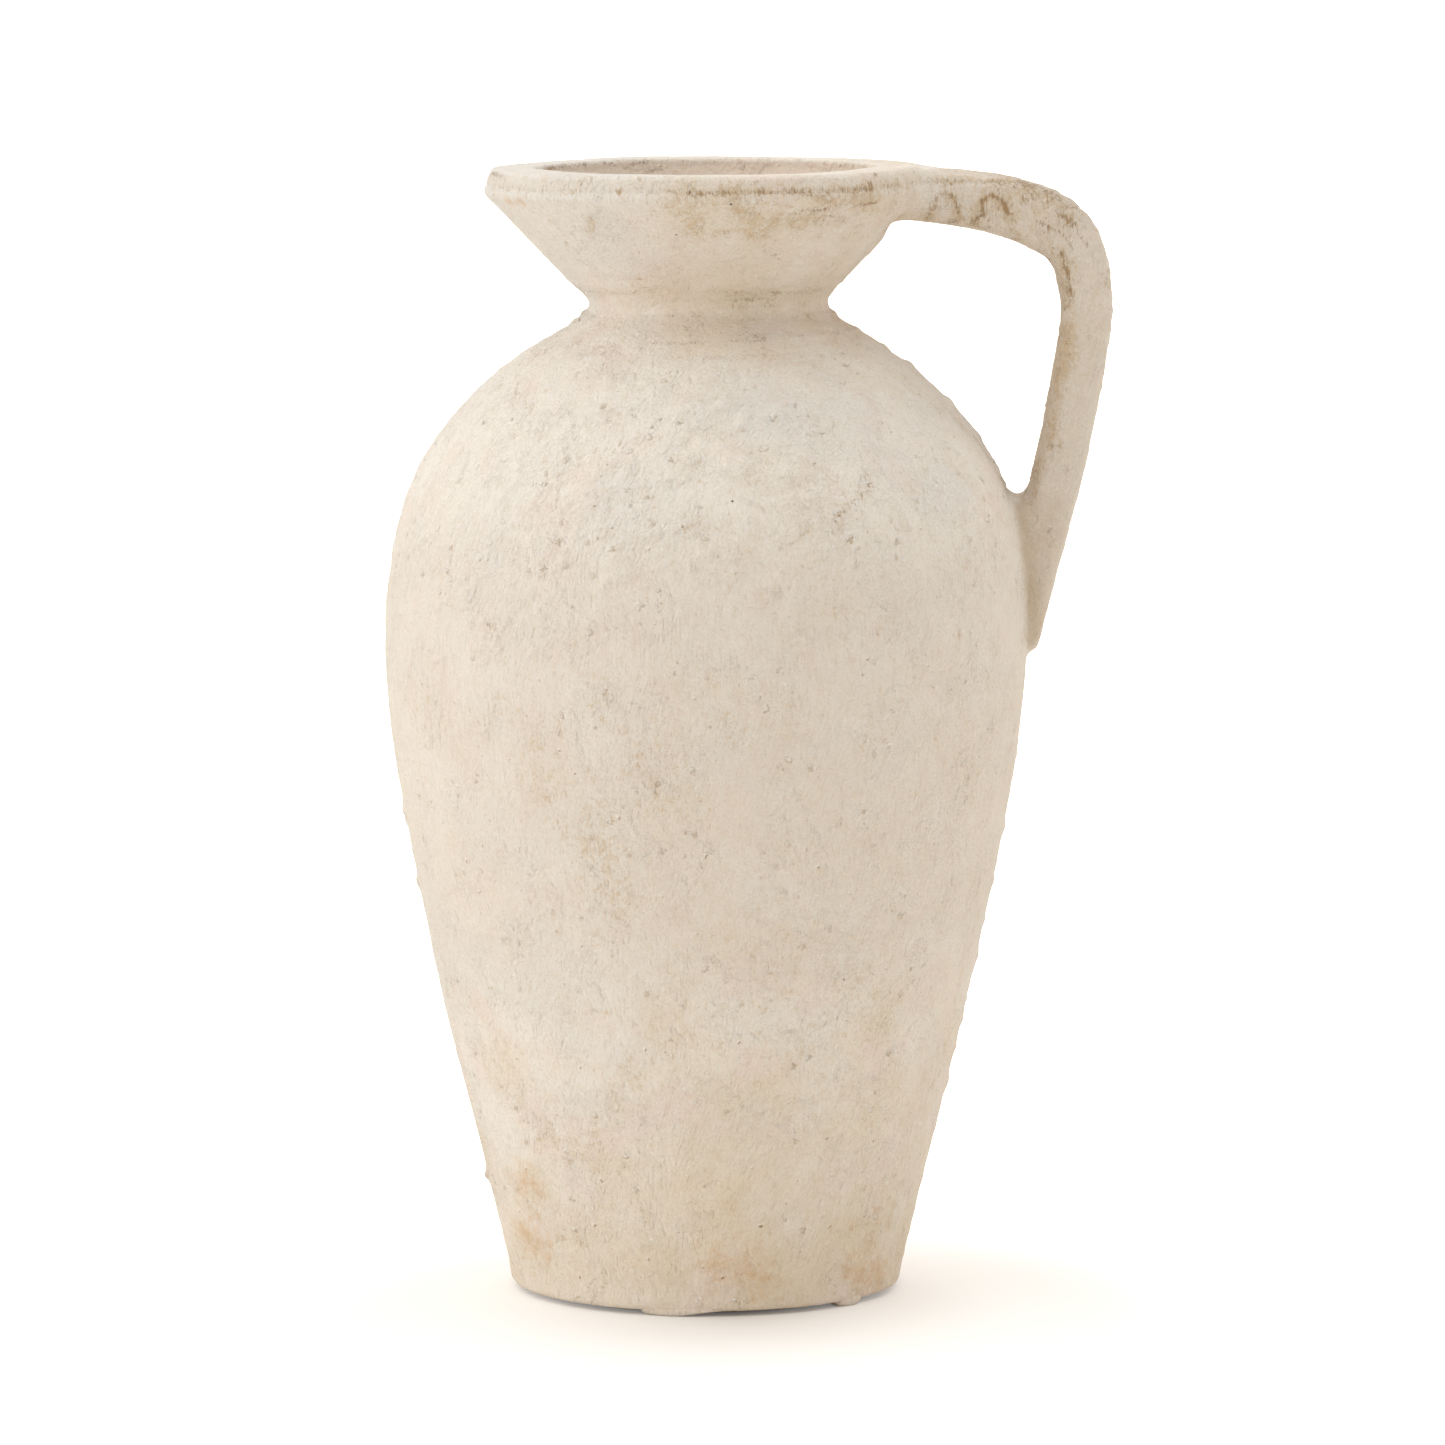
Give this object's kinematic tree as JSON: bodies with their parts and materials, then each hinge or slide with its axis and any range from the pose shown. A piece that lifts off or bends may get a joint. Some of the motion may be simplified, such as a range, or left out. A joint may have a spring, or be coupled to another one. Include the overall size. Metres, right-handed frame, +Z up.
{
  "type": "handled vase",
  "caption": "Wide-shouldered jug vase in lime-washed terracotta, with a flared neck, a rolled rim and one strap handle from rim to shoulder. Stands on a flat base and holds dry stems.",
  "frame": {"origin": "centre of the flat underside, on the surface that the vase stands on", "axes": "+Z up along the axis of the body, +X from the axis towards the handle, +Y away from the viewer when the handle is on the right"},
  "size_m": [0.2608, 0.231, 0.406],
  "materials": {
    "limewashed_clay": "chalky lime wash over rough terracotta",
    "luting_clay": "smeared clay under thin lime wash",
    "bare_clay": "dry unglazed terracotta"
  },
  "bodies": {
    "root": {"base_slab": "bare_clay", "foot_lumps": "bare_clay", "floor_coil": "bare_clay", "lower_wall": "limewashed_clay", "seam_coil": "bare_clay", "upper_wall": "limewashed_clay", "neck_coil": "luting_clay", "neck": "limewashed_clay", "rim_band": "limewashed_clay", "handle": "limewashed_clay", "handle_root_lute": "luting_clay", "handle_tip_lute": "luting_clay"}
  },
  "joints": []
}
